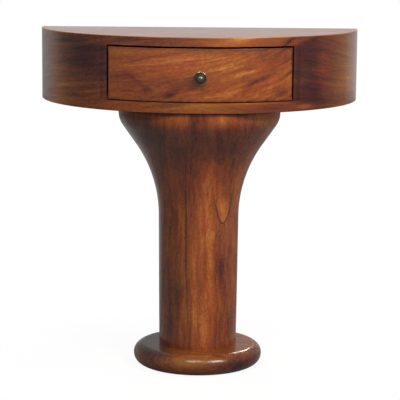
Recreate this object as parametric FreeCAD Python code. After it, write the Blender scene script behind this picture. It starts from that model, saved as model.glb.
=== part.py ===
import FreeCAD, Part
import math
import os

# Half-moon console table in stained hardwood: a semicircular drawer case with one bow-fronted
# drawer, carried on a turned pedestal with a flared head and a round bullnose base.
# Frame: +Z up, origin on the floor at the pedestal's axis, drawer towards -Y, wall towards +Y.
# Sizes are in millimetres and angles in degrees.

V = FreeCAD.Vector
UP = V(0, 0, 1)
QUARTER_TURN = 90
HALF_TURN = 180
FULL_TURN = 360
NEAR = 0.001  # points closer than this lie on the same face

# Overall form
table_height = 760.0
moon_radius = 370.0  # half the width, and the depth from the wall to the front

# Drawer case
top_thickness = 20.0
bottom_thickness = 23.0
case_height = 121.0  # clear height between the top and bottom boards
wall_thickness = 20.0  # curved side walls
back_thickness = 15.0
partition_thickness = 15.0
opening_width = 408.0
board_arris = 1.5

# Pedestal
head_setback = 2.0  # head behind the case's front edge and its flat back
head_land = 15.0  # upright band at the top of the flared head
head_chamfer = 1.5
lip_radius = 50.0  # convex turn under the band
flare_angle = 35.0  # slope of the flare, from the vertical
flare_length = 53.2  # straight part of the flare, above the concave sweep
shaft_radius = 91.0  # where the sweep meets the shaft
shaft_taper = 0.5
base_radius = 147.0
base_thickness = 47.0
spigot_radius = 45.0
spigot_length = 25.0
spigot_clearance = 0.2
spigot_end_gap = 0.5

# Drawer
front_thickness = 20.0
front_side_gap = 3.0
front_top_gap = 4.0
front_bottom_gap = 2.0
front_arris = 1.0
front_lap = 10.0  # front left uncut beyond the dovetails
box_side_thickness = 12.0
box_back_thickness = 12.0
box_back_drop = 5.0  # back's top edge below the sides' top edge
panel_thickness = 6.0
panel_float = 0.5  # room at the panel's edges in its grooves
panel_slack = 0.1  # room above and below the panel
groove_depth = 6.0
groove_lift = 8.0  # groove above the sides' lower edge
tail_count = 3
pin_width = 7.5  # between the wide ends of two dovetails
tail_slope = 1.0 / 6.0

# Drawer guides
runner_width = 20.0
runner_height = 8.0
runner_setback = 3.0
kicker_height = 17.0
kicker_clearance = 1.5
run_clearance = 0.3  # drawer to runner, and drawer to stop
stop_thickness = 12.0
stop_width = 30.0
stop_height = 40.0
stop_inset = 7.5  # inside the drawer's sides

# Knob
rosette_radius = 14.5
rosette_plate = 1.6
rosette_rim = 1.5  # radius of the raised rim
knob_foot_radius = 6.4
knob_foot_height = 1.5
knob_neck_radius = 4.4
knob_neck_length = 3.5
knob_ball_radius = 10.0
knob_screw_radius = 2.0
knob_screw_bite = 8.0
knob_head_radius = 4.0
knob_head_height = 2.6
knob_washer_radius = 6.0
knob_washer_thickness = 1.0
knob_drop = 5.5  # below the middle of the drawer front

# Fasteners
hole_clearance = 0.1
dowel_radius = 4.0
dowel_in_board = 10.0
dowel_in_wall = 20.0
dowel_end_gap = 0.5
wall_dowel_angles = (12.0, 40.0)  # round the wall, from the flat back
partition_dowel_inset = 45.0  # from each end of a partition
small_screw_radius = 2.0
small_head_radius = 4.0
small_screw_bite = 11.0
guide_screw_inset = 40.0  # from each end of a runner or kicker
pedestal_screw_count = 6
pedestal_screw_pitch = 110.0  # radius of the ring of screws
pedestal_screw_radius = 3.0
pedestal_screw_head = 6.0
pedestal_screw_length = 60.0
coach_screw_count = 4
coach_screw_pitch = 27.0
coach_screw_radius = 4.0
coach_screw_length = 50.0
coach_head_flats = 13.0
coach_head_height = 5.5
coach_washer_radius = 10.0
coach_washer_thickness = 1.6
counterbore_clearance = 2.0
counterbore_depth = 10.0

# Levels
top_underside = table_height - top_thickness
case_floor = top_underside - case_height
case_underside = case_floor - bottom_thickness
front_low = case_floor + front_bottom_gap
front_high = top_underside - front_top_gap
kicker_low = top_underside - kicker_height
box_low = case_floor + runner_height + run_clearance
box_high = kicker_low - kicker_clearance
groove_low = box_low + groove_lift
groove_high = groove_low + panel_thickness + 2 * panel_slack
back_high = box_high - box_back_drop

# Places across the width and the depth
wall_y = moon_radius / 2  # the pedestal stands under the middle of the case's depth
head_radius = wall_y - head_setback
back_face_y = wall_y - back_thickness
opening_half = opening_width / 2
partition_outer = opening_half + partition_thickness
front_half = opening_half - front_side_gap
side_inner = front_half - box_side_thickness
front_inner_radius = moon_radius - front_thickness
wall_inner_radius = moon_radius - wall_thickness
front_y = wall_y - moon_radius
box_rear = back_face_y - stop_thickness - run_clearance
back_board_y = box_rear - box_back_thickness
knob_z = (front_low + front_high) / 2 - knob_drop


def arc_y(radius, x):
    """Front-to-back place of a point on a circle about the middle of the flat back."""
    return wall_y - math.sqrt(radius ** 2 - x ** 2)


def box(x0, x1, y0, y1, z0, z1):
    low = V(min(x0, x1), min(y0, y1), min(z0, z1))
    return Part.makeBox(abs(x1 - x0), abs(y1 - y0), abs(z1 - z0), low)


def moon_cylinder(radius, z0, z1):
    """Upright cylinder about the middle of the flat back."""
    return Part.makeCylinder(radius, z1 - z0, V(0, wall_y, z0))


def line(a, b):
    return Part.LineSegment(a, b).toShape()


def arc(a, b, c):
    return Part.Arc(a, b, c).toShape()


def extrude(edges, height):
    return Part.Face(Part.Wire(edges)).extrude(V(0, 0, height))


def revolve(edges):
    """Solid of revolution about Z from a closed profile in the XZ plane."""
    return Part.Face(Part.Wire(edges)).revolve(V(), UP, FULL_TURN)


def profile(points):
    """Closed straight-sided profile in the XZ plane, from (radius, height) pairs."""
    return Part.makePolygon([V(r, 0, z) for r, z in points + points[:1]]).Edges


def cut_all(shape, tools):
    for tool in tools:
        shape = shape.cut(tool)
    return shape


def half_moon(z0, z1):
    """Semicircular board, flat side to the wall."""
    left, front, right = V(-moon_radius, wall_y, z0), V(0, front_y, z0), V(moon_radius, wall_y, z0)
    return extrude([arc(left, front, right), line(right, left)], z1 - z0)


def moon_arc(radius, x0, x1, z):
    """Start, middle and end of an arc about the middle of the flat back."""
    middle = radius * math.sin((math.asin(x0 / radius) + math.asin(x1 / radius)) / 2)
    return [V(x, arc_y(radius, x), z) for x in (x0, middle, x1)]


def curved_board(outer, inner, z0, z1):
    """Upright curved board between two arcs, each given as (radius, start x, end x)."""
    out_start, out_middle, out_end = moon_arc(*outer, z0)
    in_start, in_middle, in_end = moon_arc(*inner, z0)
    edges = [
        arc(out_start, out_middle, out_end),
        line(out_end, in_end),
        arc(in_end, in_middle, in_start),
        line(in_start, out_start),
    ]
    return extrude(edges, z1 - z0)


def rounded(shape, radius, chosen):
    """Fillets the edges whose points all satisfy the test."""
    edges = [e for e in shape.Edges if all(chosen(v.Point) for v in e.Vertexes)]
    return shape.makeFillet(radius, edges)


def screw_blank(head, shank, length, grow=0.0):
    """Countersunk screw, head uppermost at the origin; grow makes the hole it sits in."""
    sink = head - shank
    tip = 2 * shank
    end = length + grow
    return revolve(profile([
        (0, 0), (head + grow, 0), (shank + grow, -sink), (shank + grow, tip - end), (0, -end),
    ]))


def placed(shape, position, turn=None):
    copy = shape.copy()
    if turn:
        copy.rotate(V(), V(1, 0, 0), turn)
    copy.translate(position)
    return copy


def ring(count, radius, z):
    """Points spread evenly on a circle about the pedestal's axis."""
    angles = [2 * math.pi * (i + 0.5) / count for i in range(count)]
    return [V(radius * math.cos(a), radius * math.sin(a), z) for a in angles]


def dowel_places():
    """Plan positions of the dowels that join the upright walls to the two boards."""
    middle = moon_radius - wall_thickness / 2
    across = (opening_half + partition_outer) / 2
    reach = (arc_y(moon_radius, across) + partition_dowel_inset, back_face_y - partition_dowel_inset)
    places = []
    for side in (-1, 1):
        for angle in wall_dowel_angles:
            a = math.radians(angle)
            places.append((side * middle * math.cos(a), wall_y - middle * math.sin(a)))
        for y in reach:
            places.append((side * across, y))
    return places


def dowels(low, high, grow=0.0, end_grow=0.0):
    length = high - low + 2 * end_grow
    return [
        Part.makeCylinder(dowel_radius + grow, length, V(x, y, low - end_grow))
        for x, y in dowel_places()
    ]


def dowel_spans():
    """Lower and upper ends of the dowels in the bottom board and in the top board."""
    bottom = (case_floor - dowel_in_board, case_floor + dowel_in_wall)
    top = (top_underside - dowel_in_wall, top_underside + dowel_in_board)
    return bottom, top


def dowel_holes():
    bottom, top = dowel_spans()
    holes = dowels(*bottom, hole_clearance, dowel_end_gap)
    return holes + dowels(*top, hole_clearance, dowel_end_gap)


# Drawer guides and their screws

def guide_span():
    """Front and rear ends of the runners and kickers, clear of the closed drawer front."""
    return arc_y(front_inner_radius, front_half) + runner_setback, back_face_y


def guide_strip(side, z0, z1):
    front, rear = guide_span()
    return box(side * (opening_half - runner_width), side * opening_half, front, rear, z0, z1)


def guide_screws(face_z, turn, length, grow=0.0):
    """Two screws in each guide strip, driven from the strip's free face."""
    front, rear = guide_span()
    blank = screw_blank(small_head_radius, small_screw_radius, length, grow)
    across = opening_half - runner_width / 2
    return [
        placed(blank, V(side * across, y, face_z), turn)
        for side in (-1, 1)
        for y in (front + guide_screw_inset, rear - guide_screw_inset)
    ]


def runner_screws(grow=0.0):
    return guide_screws(case_floor + runner_height, None, runner_height + small_screw_bite, grow)


def kicker_screws(grow=0.0):
    return guide_screws(kicker_low, HALF_TURN, top_underside - kicker_low + small_screw_bite, grow)


def runner(side):
    return cut_all(guide_strip(side, case_floor, case_floor + runner_height), runner_screws(hole_clearance))


def kicker(side):
    return cut_all(guide_strip(side, kicker_low, top_underside), kicker_screws(hole_clearance))


def drawer_stops():
    """Two blocks on the back panel that the closed drawer comes to rest against."""
    low = (box_low + box_high - stop_height) / 2
    outer = side_inner - stop_inset
    inner = outer - stop_width
    front = back_face_y - stop_thickness
    return [
        box(side * inner, side * outer, front, back_face_y, low, low + stop_height)
        for side in (-1, 1)
    ]


# Drawer case

def pedestal_screws(grow=0.0):
    blank = screw_blank(pedestal_screw_head, pedestal_screw_radius, pedestal_screw_length, grow)
    return [placed(blank, p) for p in ring(pedestal_screw_count, pedestal_screw_pitch, case_floor)]


def top_board():
    board = half_moon(top_underside, table_height)
    board = rounded(board, board_arris, lambda p: p.z > table_height - NEAR)
    return cut_all(board, dowel_holes() + kicker_screws(hole_clearance))


def bottom_board():
    board = half_moon(case_underside, case_floor)
    board = rounded(board, board_arris, lambda p: p.z < case_underside + NEAR)
    return cut_all(board, dowel_holes() + runner_screws(hole_clearance) + pedestal_screws(hole_clearance))


def side_wall(side):
    """Curved wall from the partition round to the flat back."""
    start = side * partition_outer
    outer = (moon_radius, start, side * moon_radius)
    inner = (wall_inner_radius, start, side * wall_inner_radius)
    return cut_all(curved_board(outer, inner, case_floor, top_underside), dowel_holes())


def partition(side):
    """Upright board beside the drawer, its front edge shaped to the curve of the case."""
    board = box(side * opening_half, side * partition_outer, front_y, back_face_y, case_floor, top_underside)
    board = board.common(moon_cylinder(moon_radius, case_floor, top_underside))
    return cut_all(board, dowel_holes())


def back_panel():
    """Flat board let in between the ends of the curved walls, flush with the back."""
    board = box(-moon_radius, moon_radius, back_face_y, wall_y, case_floor, top_underside)
    return board.common(moon_cylinder(wall_inner_radius, case_floor, top_underside))


# Pedestal

def pedestal_column():
    """Turned column: upright band, convex lip, straight flare, cove, tapered shaft and spigot."""
    a, b = math.radians(flare_angle), math.radians(shaft_taper)

    def lip(angle):
        centre_r, centre_z = head_radius - lip_radius, case_underside - head_land
        return V(centre_r + lip_radius * math.cos(angle), 0, centre_z - lip_radius * math.sin(angle))

    flare_top = lip(a)
    flare_low = flare_top - V(flare_length * math.sin(a), 0, flare_length * math.cos(a))
    cove_radius = (flare_low.x - shaft_radius) / (math.cos(b) - math.cos(a))

    def cove(angle):
        inward = cove_radius * (math.cos(angle) - math.cos(a))
        return flare_low - V(inward, 0, cove_radius * (math.sin(a) - math.sin(angle)))

    shaft_top = cove(b)
    foot_radius = shaft_top.x - (shaft_top.z - base_thickness) * math.tan(b)
    foot = V(foot_radius, 0, base_thickness)
    shoulder = V(spigot_radius, 0, base_thickness)
    spigot_end = V(spigot_radius, 0, base_thickness - spigot_length)
    crown = V(head_radius - head_chamfer, 0, case_underside)
    band_top = V(head_radius, 0, case_underside - head_chamfer)
    edges = [
        line(V(0, 0, case_underside), crown),
        line(crown, band_top),
        line(band_top, lip(0)),
        arc(lip(0), lip(a / 2), flare_top),
        line(flare_top, flare_low),
        arc(flare_low, cove((a + b) / 2), shaft_top),
        line(shaft_top, foot),
        line(foot, shoulder),
        line(shoulder, spigot_end),
        line(spigot_end, V(0, 0, spigot_end.z)),
        line(V(0, 0, spigot_end.z), V(0, 0, case_underside)),
    ]
    return cut_all(revolve(edges), pedestal_screws(hole_clearance) + coach_shanks(hole_clearance))


def pedestal_base():
    """Turned disc with a full bullnose edge, a socket for the column and counterbores below."""
    half = base_thickness / 2
    flat = base_radius - half
    socket_r = spigot_radius + spigot_clearance
    socket_z = base_thickness - spigot_length - spigot_end_gap
    edges = [
        line(V(0, 0, 0), V(flat, 0, 0)),
        arc(V(flat, 0, 0), V(base_radius, 0, half), V(flat, 0, base_thickness)),
        line(V(flat, 0, base_thickness), V(socket_r, 0, base_thickness)),
        line(V(socket_r, 0, base_thickness), V(socket_r, 0, socket_z)),
        line(V(socket_r, 0, socket_z), V(0, 0, socket_z)),
        line(V(0, 0, socket_z), V(0, 0, 0)),
    ]
    bores = [
        Part.makeCylinder(coach_washer_radius + counterbore_clearance, counterbore_depth, p)
        for p in ring(coach_screw_count, coach_screw_pitch, 0)
    ]
    return cut_all(revolve(edges), bores + coach_shanks(hole_clearance))


def coach_head_top():
    return counterbore_depth - coach_washer_thickness


def coach_shanks(grow=0.0):
    return [
        Part.makeCylinder(coach_screw_radius + grow, coach_screw_length + grow, p)
        for p in ring(coach_screw_count, coach_screw_pitch, coach_head_top())
    ]


def coach_screws():
    """Hexagon-headed screws driven up through the base into the column."""
    corner = coach_head_flats / math.sqrt(3)
    low = coach_head_top() - coach_head_height
    solids = []
    for p, shank in zip(ring(coach_screw_count, coach_screw_pitch, low), coach_shanks()):
        turns = [i * math.pi / 3 for i in range(7)]
        corners = [p + V(corner * math.cos(t), corner * math.sin(t), 0) for t in turns]
        head = Part.Face(Part.makePolygon(corners)).extrude(V(0, 0, coach_head_height))
        solids.append(head.fuse(shank).removeSplitter())
    return solids


def coach_washers():
    hole = coach_screw_radius + hole_clearance
    solids = []
    for p in ring(coach_screw_count, coach_screw_pitch, coach_head_top()):
        disc = Part.makeCylinder(coach_washer_radius, coach_washer_thickness, p)
        solids.append(disc.cut(Part.makeCylinder(hole, coach_washer_thickness, p)))
    return solids


# Drawer

def tails(side, root_y, end_y, z0, z1):
    """Dovetails on one end of a drawer side: prisms that widen from root_y to end_y."""
    step = (z1 - z0) / tail_count
    wide = step - pin_width
    narrow = wide - 2 * tail_slope * abs(end_y - root_y)
    prisms = []
    for i in range(tail_count):
        middle = z0 + (i + 0.5) * step
        corners = [
            (root_y, middle - narrow / 2), (end_y, middle - wide / 2),
            (end_y, middle + wide / 2), (root_y, middle + narrow / 2),
        ]
        points = [V(side * side_inner, y, z) for y, z in corners + corners[:1]]
        prisms.append(Part.Face(Part.makePolygon(points)).extrude(V(side * box_side_thickness, 0, 0)))
    return prisms


def front_tails(side):
    root = arc_y(front_inner_radius, front_half)
    return tails(side, root, arc_y(moon_radius, front_half) + front_lap, box_low, box_high)


def rear_tails(side):
    return tails(side, back_board_y, box_rear, groove_high, back_high)


def panel_groove(edge_room):
    """Space for the bottom panel: grooves in the sides and the front, open at the rear."""
    half = side_inner + groove_depth - edge_room
    space = box(-half, half, front_y, box_rear, groove_low, groove_high)
    return space.common(moon_cylinder(front_inner_radius + groove_depth - edge_room, groove_low, groove_high))


def drawer_front():
    """Bow front with blind dovetail sockets at its ends and a groove for the bottom panel."""
    outer = (moon_radius, -front_half, front_half)
    inner = (front_inner_radius, -front_half, front_half)
    board = curved_board(outer, inner, front_low, front_high)
    board = rounded(board, front_arris, lambda p: math.hypot(p.x, p.y - wall_y) > moon_radius - NEAR)
    bore = knob_screw_radius + hole_clearance
    hole = Part.makeCylinder(bore, moon_radius, V(0, wall_y, knob_z), V(0, -1, 0))
    sockets = front_tails(-1) + front_tails(1)
    return cut_all(board, sockets + [panel_groove(0), hole])


def drawer_side(side):
    """Side board, dovetailed to the front and the back and grooved for the bottom panel."""
    board = box(side * side_inner, side * front_half, front_y, box_rear, box_low, box_high)
    board = board.common(moon_cylinder(front_inner_radius, box_low, box_high))
    board = board.cut(box(-front_half, front_half, back_board_y, box_rear, groove_high, back_high))
    for tail in front_tails(side) + rear_tails(side):
        board = board.fuse(tail)
    return board.removeSplitter().cut(panel_groove(0))


def drawer_back():
    board = box(-front_half, front_half, back_board_y, box_rear, groove_high, back_high)
    return cut_all(board, rear_tails(-1) + rear_tails(1))


def drawer_bottom():
    low, high = groove_low + panel_slack, groove_high - panel_slack
    layer = box(-moon_radius, moon_radius, front_y, wall_y, low, high)
    return panel_groove(panel_float).common(layer)


# Knob, modelled pointing up and then turned to point out of the drawer front

def facing_out(shape):
    return placed(shape, V(0, front_y, knob_z), QUARTER_TURN)


def knob_rosette():
    """Thin backplate with a rounded rim and a hole for the screw."""
    hole = knob_screw_radius + hole_clearance
    rim = rosette_radius - rosette_rim
    edges = [
        line(V(hole, 0, 0), V(rosette_radius, 0, 0)),
        line(V(rosette_radius, 0, 0), V(rosette_radius, 0, rosette_plate)),
        arc(V(rosette_radius, 0, rosette_plate), V(rim, 0, rosette_plate + rosette_rim),
            V(rim - rosette_rim, 0, rosette_plate)),
        line(V(rim - rosette_rim, 0, rosette_plate), V(hole, 0, rosette_plate)),
        line(V(hole, 0, rosette_plate), V(hole, 0, 0)),
    ]
    return facing_out(revolve(edges))


def drawer_knob():
    """Turned knob: foot, waisted neck and ball, with a blind hole for the screw."""
    foot_z = rosette_plate + knob_foot_height
    neck_z = foot_z + knob_neck_length
    drop = math.sqrt(knob_ball_radius ** 2 - knob_neck_radius ** 2)
    centre = neck_z + drop
    hole = knob_screw_radius + hole_clearance
    hole_end = rosette_plate + knob_screw_bite + hole_clearance
    foot_top = V(knob_foot_radius, 0, foot_z)
    neck_top = V(knob_neck_radius, 0, neck_z)
    waist = V(knob_neck_radius, 0, foot_z + knob_neck_length / 2)
    equator = V(knob_ball_radius, 0, centre)
    crown = V(0, 0, centre + knob_ball_radius)
    edges = [
        line(V(hole, 0, rosette_plate), V(knob_foot_radius, 0, rosette_plate)),
        line(V(knob_foot_radius, 0, rosette_plate), foot_top),
        arc(foot_top, waist, neck_top),
        arc(neck_top, equator, crown),
        line(crown, V(0, 0, hole_end)),
        line(V(0, 0, hole_end), V(hole, 0, hole_end)),
        line(V(hole, 0, hole_end), V(hole, 0, rosette_plate)),
    ]
    return facing_out(revolve(edges))


def washer_seat():
    """Distance of the washer's seat behind the drawer front's outermost point."""
    return front_y - arc_y(front_inner_radius, knob_washer_radius)


def knob_washer():
    low = washer_seat() - knob_washer_thickness
    disc = Part.makeCylinder(knob_washer_radius, knob_washer_thickness, V(0, 0, low))
    hole = Part.makeCylinder(knob_screw_radius + hole_clearance, knob_washer_thickness, V(0, 0, low))
    return facing_out(disc.cut(hole))


def knob_screw():
    """Round-headed machine screw from inside the drawer into the knob."""
    head_top = washer_seat() - knob_washer_thickness
    head = Part.makeCylinder(knob_head_radius, knob_head_height, V(0, 0, head_top - knob_head_height))
    reach = rosette_plate + knob_screw_bite - head_top
    shank = Part.makeCylinder(knob_screw_radius, reach, V(0, 0, head_top))
    return facing_out(head.fuse(shank).removeSplitter())


def pieces():
    bottom, top = dowel_spans()
    return {
        "top_board": top_board(),
        "bottom_board": bottom_board(),
        "left_side_wall": side_wall(-1),
        "right_side_wall": side_wall(1),
        "left_partition": partition(-1),
        "right_partition": partition(1),
        "back_panel": back_panel(),
        "left_runner": runner(-1),
        "right_runner": runner(1),
        "left_kicker": kicker(-1),
        "right_kicker": kicker(1),
        "drawer_stops": drawer_stops(),
        "top_dowels": dowels(*top),
        "bottom_dowels": dowels(*bottom),
        "runner_screws": runner_screws(),
        "kicker_screws": kicker_screws(),
        "pedestal_screws": pedestal_screws(),
        "pedestal_column": pedestal_column(),
        "pedestal_base": pedestal_base(),
        "base_coach_screws": coach_screws(),
        "base_washers": coach_washers(),
        "drawer_front": drawer_front(),
        "drawer_left_side": drawer_side(-1),
        "drawer_right_side": drawer_side(1),
        "drawer_back": drawer_back(),
        "drawer_bottom": drawer_bottom(),
        "drawer_knob": drawer_knob(),
        "knob_rosette": knob_rosette(),
        "knob_screw": knob_screw(),
        "knob_washer": knob_washer(),
    }


def main():
    os.makedirs("parts", exist_ok=True)
    for name, shape in pieces().items():
        solids = shape if isinstance(shape, list) else shape.Solids
        for solid in solids:
            if not solid.isValid():
                raise ValueError(name + " is not a valid solid")
        Part.makeCompound(solids).exportStep(os.path.join("parts", name + ".step"))
        print(name, len(solids), "solids", round(sum(s.Volume for s in solids) / 1000, 1), "cm3")


main()
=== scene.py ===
import math
from collections import namedtuple

import bmesh
import bpy
import numpy as np
from bpy.props import FloatProperty, FloatVectorProperty, IntProperty, PointerProperty
from mathutils import Matrix, Vector


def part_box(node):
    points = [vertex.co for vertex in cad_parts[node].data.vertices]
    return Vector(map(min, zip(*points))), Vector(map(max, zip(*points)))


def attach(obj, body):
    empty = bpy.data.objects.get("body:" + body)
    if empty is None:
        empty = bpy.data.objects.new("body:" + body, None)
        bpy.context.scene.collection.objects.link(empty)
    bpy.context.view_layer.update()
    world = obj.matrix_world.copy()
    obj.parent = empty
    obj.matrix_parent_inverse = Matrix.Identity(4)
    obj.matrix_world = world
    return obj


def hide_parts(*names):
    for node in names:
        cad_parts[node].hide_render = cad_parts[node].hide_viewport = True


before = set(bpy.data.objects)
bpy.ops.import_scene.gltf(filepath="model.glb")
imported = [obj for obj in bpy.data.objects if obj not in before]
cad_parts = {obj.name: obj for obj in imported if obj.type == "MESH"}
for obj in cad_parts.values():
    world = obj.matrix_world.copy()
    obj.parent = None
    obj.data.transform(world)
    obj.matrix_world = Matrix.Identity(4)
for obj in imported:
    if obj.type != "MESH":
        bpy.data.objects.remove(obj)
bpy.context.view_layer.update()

bl_info = {
    "name": "Half-round pedestal console",
    "version": (1, 0, 0),
    "blender": (4, 5, 0),
    "location": "3D View > Sidebar > Console",
    "description": "Half-round console table with a bowed drawer, a turned pedestal and a brass knob",
    "category": "Add Mesh",
}

TABLE = "table"
DRAWER = "drawer"
HALF_TURN = math.pi
FULL_TURN = 2 * math.pi

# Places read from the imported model, in metres
top_low, top_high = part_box("top_board")
drawer_low, drawer_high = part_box("drawer_front")
wall_low, wall_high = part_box("right_side_wall")
column_low, column_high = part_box("pedestal_column")
base_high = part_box("pedestal_base")[1]
knob_low, knob_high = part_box("drawer_knob")
plate_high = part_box("knob_rosette")[1]
MOON_RADIUS = top_high.x
WALL_Y = top_high.y
DRAWER_MIDDLE = (drawer_low.z + drawer_high.z) / 2
TOP_RISE = top_high.z - DRAWER_MIDDLE  # top over the drawer's middle
KNOB_HEIGHT = (knob_low.z + knob_high.z) / 2
DRAWER_REACH = math.asin(drawer_high.x / MOON_RADIUS) * MOON_RADIUS  # half the drawer's width
DRAWER_RISE = (drawer_high.z - drawer_low.z) / 2  # half the drawer's height


def length(name, description, default, low):
    """A size in metres, with its least value."""
    return FloatProperty(name=name, description=description, default=default, min=low, unit="LENGTH")


def finish_colour(name, description, default):
    """A colour of a finish."""
    return FloatVectorProperty(
        name=name, description=description, default=default, size=3, min=0.0, max=1.0, subtype="COLOR")


class CaseSizes(bpy.types.PropertyGroup):
    """Sizes of the half-round drawer case."""

    board: length("Curved board", "Thickness of the curved walls and of the drawer front", 0.020, 0.002)
    edge: length("Top edge", "Radius worn on the upper edge of the top", 0.0015, 0.0002)
    front_edge: length("Drawer edge", "Radius worn on the drawer front's edges", 0.0010, 0.0002)
    seam: length("Seam", "Small radius on edges that meet a neighbour", 0.0001, 0.00005)


class PedestalSizes(bpy.types.PropertyGroup):
    """Sizes of the turned column."""

    land: length("Band", "Height of the upright band at the top of the head", 0.015, 0.0)
    chamfer: length("Chamfer", "Bevel at the top of the band", 0.0015, 0.0002)
    lip: length("Lip", "Radius of the convex turn under the band", 0.050, 0.005)
    flare_angle: FloatProperty(
        name="Flare angle", description="Slope of the flare from the vertical",
        default=math.radians(35.0), min=0.1, max=1.2, subtype="ANGLE")
    flare: length("Flare", "Length of the straight part of the flare", 0.0532, 0.005)
    shaft: length("Shaft", "Radius of the shaft where the sweep meets it", 0.091, 0.02)
    taper: FloatProperty(
        name="Taper", description="Slope of the shaft from the vertical",
        default=math.radians(0.5), min=0.0, max=0.2, subtype="ANGLE")
    spigot: length("Spigot", "Radius of the spigot that sits in the base", 0.045, 0.005)
    steps: IntProperty(
        name="Steps", description="Faces round a turned piece",
        default=192, min=24, max=512)


class KnobSizes(bpy.types.PropertyGroup):
    """Sizes of the knob and its backplate."""

    plate: length("Plate", "Thickness of the backplate", 0.0016, 0.0004)
    rim: length("Rim", "Radius of the raised rim of the backplate", 0.0015, 0.0002)
    foot: length("Foot", "Radius of the knob's foot", 0.0064, 0.001)
    foot_height: length("Foot height", "Height of the knob's foot", 0.0015, 0.0002)
    neck: length("Neck", "Radius of the knob's neck where it meets the ball", 0.0044, 0.001)
    neck_length: length("Neck length", "Length of the knob's neck", 0.0035, 0.0005)
    screw_hole: length("Screw hole", "Radius of the hole through the backplate", 0.0021, 0.0002)


class Finishes(bpy.types.PropertyGroup):
    """Colours and gloss of the woods and metals."""

    vein: finish_colour("Vein", "Darkest grain lines and knots", (0.016, 0.004, 0.003))
    shade: finish_colour("Shade", "Dark heartwood", (0.060, 0.013, 0.009))
    body: finish_colour("Body", "Main stain of the wood", (0.165, 0.037, 0.012))
    warm: finish_colour("Warm", "Light, orange wood", (0.330, 0.080, 0.012))
    glow: finish_colour("Glow", "Palest ribbons of the figure", (0.520, 0.190, 0.045))
    bare: finish_colour("Bare wood", "Unstained wood inside the case", (0.420, 0.225, 0.090))
    bare_dark: finish_colour("Bare wood grain", "Grain of the unstained wood", (0.190, 0.085, 0.030))
    bronze: finish_colour("Patina", "Dark skin of the brass", (0.110, 0.095, 0.078))
    brass: finish_colour("Rubbed brass", "Where hands keep the brass clean", (0.420, 0.345, 0.260))
    zinc: finish_colour("Zinc", "Plated screws and washers", (0.560, 0.570, 0.580))
    gloss: FloatProperty(
        name="Lacquer", description="Roughness of the lacquer", default=0.17, min=0.02, max=1.0,
        subtype="FACTOR")


class ConsoleSettings(bpy.types.PropertyGroup):
    """All the settings of the console table."""

    case: PointerProperty(type=CaseSizes, name="Case", description="Sizes of the drawer case")
    pedestal: PointerProperty(type=PedestalSizes, name="Pedestal", description="Sizes of the column")
    knob: PointerProperty(type=KnobSizes, name="Knob", description="Sizes of the knob")
    finish: PointerProperty(type=Finishes, name="Finishes", description="Colours and gloss")


def settings():
    return bpy.context.scene.half_round_console


# Surfaces

MERGE = 1e-6  # metres; points closer than this are one
HOLD = 0.0004  # metres; a row of points this far from a rounded edge keeps the face beside it flat
SHARP = math.radians(32.0)  # edges that turn by more than this stay crisp
TAIL_PROUD = 0.0002  # metres; how far the drawer's dovetails stand out of the front's ends
EDGE_STEPS = 5  # points round a small worn edge
FACE_STEPS = 8  # rows of points across a flat face
MOON_STEPS = 200  # points round the curve of a half-round board
BACK_STEPS = 64  # points along its straight back
BOW_STEPS = 150  # points along a bent board
RISE_STEPS = 36  # points up a bent board
LIP_STEPS = 20  # points down the column's lip, its cove and its shaft
COVE_STEPS = 56
SHAFT_STEPS = 24
RIM_STEPS = 20  # points over the backplate's rim
NECK_STEPS = 10  # points along the knob's neck and round its ball
BALL_STEPS = 48


def ring_mesh(name, rings):
    """Mesh of quads over a stack of rings (rows, points, 3).

    Each ring is a closed loop, and each point joins the same point of the next ring.
    """
    rows, count = rings.shape[:2]
    here = np.arange(rows * count).reshape(rows, count)
    beside = np.roll(here, -1, axis=1)
    quads = np.stack([here[:-1], beside[:-1], beside[1:], here[1:]], axis=-1).reshape(-1, 4)
    mesh = bpy.data.meshes.new(name)
    mesh.from_pydata(rings.reshape(-1, 3), [], quads)
    return mesh


def add_piece(name, rings, material, body, slot, *nodes):
    """Closes a stack of rings into a piece and adds it to the object.

    The first and last rings lie on a point or a line, where their doubles merge and close the surface.
    """
    mesh = ring_mesh(name, rings)
    work = bmesh.new()
    work.from_mesh(mesh)
    bmesh.ops.remove_doubles(work, verts=work.verts, dist=MERGE)
    bmesh.ops.recalc_face_normals(work, faces=work.faces)
    work.to_mesh(mesh)
    work.free()
    mesh.shade_smooth()
    mesh.set_sharp_from_angle(angle=SHARP)
    mesh.materials.append(material)
    piece = bpy.data.objects.new(name, mesh)
    bpy.context.scene.collection.objects.link(piece)
    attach(piece, body)
    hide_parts(*nodes)


def rounded_edge(level, radius, level_sign):
    """Edge points (inset, level) that turn from a flat face to the side, and one more that holds the side.

    The inset falls from radius to 0 as radius * (1 - sin t), and the level moves off the face by
    radius * (1 - cos t), for t over a quarter turn.
    """
    turn = np.linspace(0, HALF_TURN / 2, EDGE_STEPS)
    inset = np.append(radius * (1 - np.sin(turn)), 0.0)
    step = np.append(radius * (1 - np.cos(turn)), radius + HOLD)
    return np.stack([inset, level + level_sign * step], axis=-1)


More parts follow.
